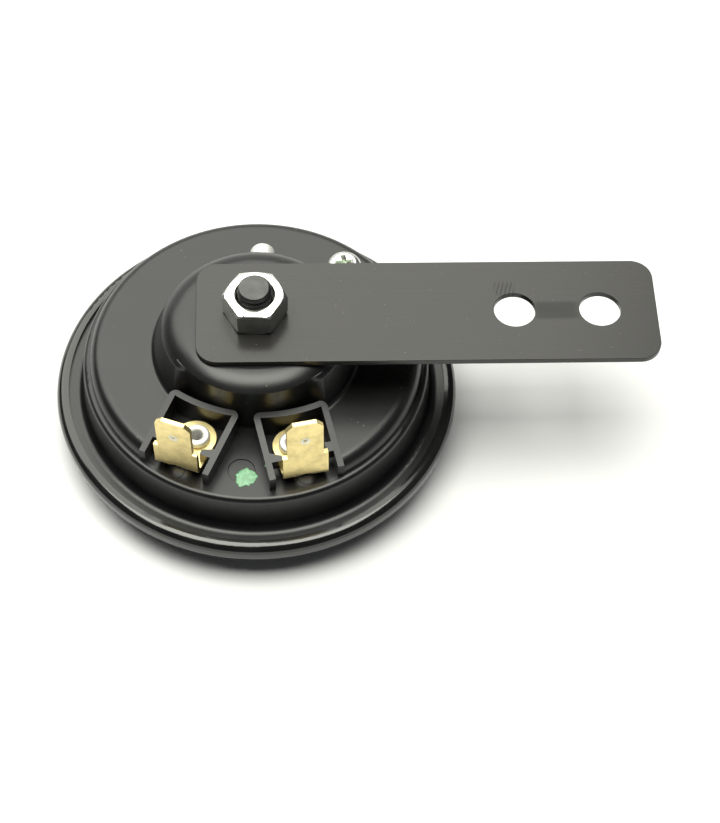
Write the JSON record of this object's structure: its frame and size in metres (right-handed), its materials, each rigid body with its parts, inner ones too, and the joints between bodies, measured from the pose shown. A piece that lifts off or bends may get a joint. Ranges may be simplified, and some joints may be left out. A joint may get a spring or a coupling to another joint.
{
  "type": "car horn",
  "caption": "Electric disc horn for a vehicle: moulded rear housing with blade terminals, curled steel front cover and a flat mounting strap held by a nut.",
  "frame": {"origin": "on the horn's axis, in the plane of the flat front face that the horn rests on", "axes": "+Z along the horn's axis towards the mounting nut, +X along the mounting strap towards its two holes, -Y on the side of the terminals"},
  "size_m": [0.1066, 0.0726, 0.0355],
  "materials": {
    "housing_plastic": "semi-gloss black moulding",
    "cover_steel": "black coated sheet steel",
    "strap_steel": "satin dark coating",
    "nut_zinc": "bright zinc plating",
    "stud_steel": "dark plated steel",
    "magnet_steel": "plain plated steel",
    "spring_steel": "bright spring steel",
    "gasket_paper": "plain fibre sheet",
    "insulator_board": "plain brown board",
    "bobbin_plastic": "natural moulding",
    "coil_copper": "enamelled copper wire",
    "terminal_brass": "plain brass",
    "rivet_steel": "bright plating",
    "contact_brass": "spring brass"
  },
  "bodies": {
    "horn": {"front_cover": "cover_steel", "front_gasket": "gasket_paper", "diaphragm": "spring_steel", "rear_gasket": "gasket_paper", "rear_housing": "housing_plastic", "terminal_right": "terminal_brass", "terminal_rivet_right": "rivet_steel", "terminal_left": "terminal_brass", "terminal_rivet_left": "rivet_steel", "yoke": "magnet_steel", "stud_core": "stud_steel", "coil_bobbin": "bobbin_plastic", "coil_winding": "coil_copper", "insulator_upper": "insulator_board", "fixed_contact_arm": "contact_brass", "insulator_middle": "insulator_board", "moving_contact_arm": "contact_brass", "insulator_lower": "insulator_board", "fixed_contact_point": "rivet_steel", "moving_contact_point": "rivet_steel", "contact_pusher": "insulator_board", "contact_rivet": "rivet_steel", "screw_insert": "contact_brass", "strap_nut": "nut_zinc"},
    "sounder": {"armature": "magnet_steel", "sounder_stem": "rivet_steel", "sounder_washer": "magnet_steel", "sounder_spacer": "magnet_steel", "tone_disc": "spring_steel"},
    "tone_adjuster": {"tone_screw": "rivet_steel"},
    "strap": {"mounting_strap": "strap_steel"}
  },
  "joints": [
    {"name": "strap_swivel", "type": "hinge", "parent": "horn", "child": "strap", "pos_m": [0, 0, 0.0281], "axis": [0, 0, 1], "range_deg": [-39, 209]},
    {"name": "tone_screw_turn", "type": "hinge", "parent": "horn", "child": "tone_adjuster", "pos_m": [0.01615, 0.01748, 0.0187], "axis": [0, 0, 1], "range_deg": [-180, 180]},
    {"name": "sounder_slide", "type": "slide", "parent": "horn", "child": "sounder", "axis": [0, 0, 1], "range_m": [-0.0003, 0.0003], "stiffness_N_per_m": 150000, "deforming": ["diaphragm"]}
  ]
}
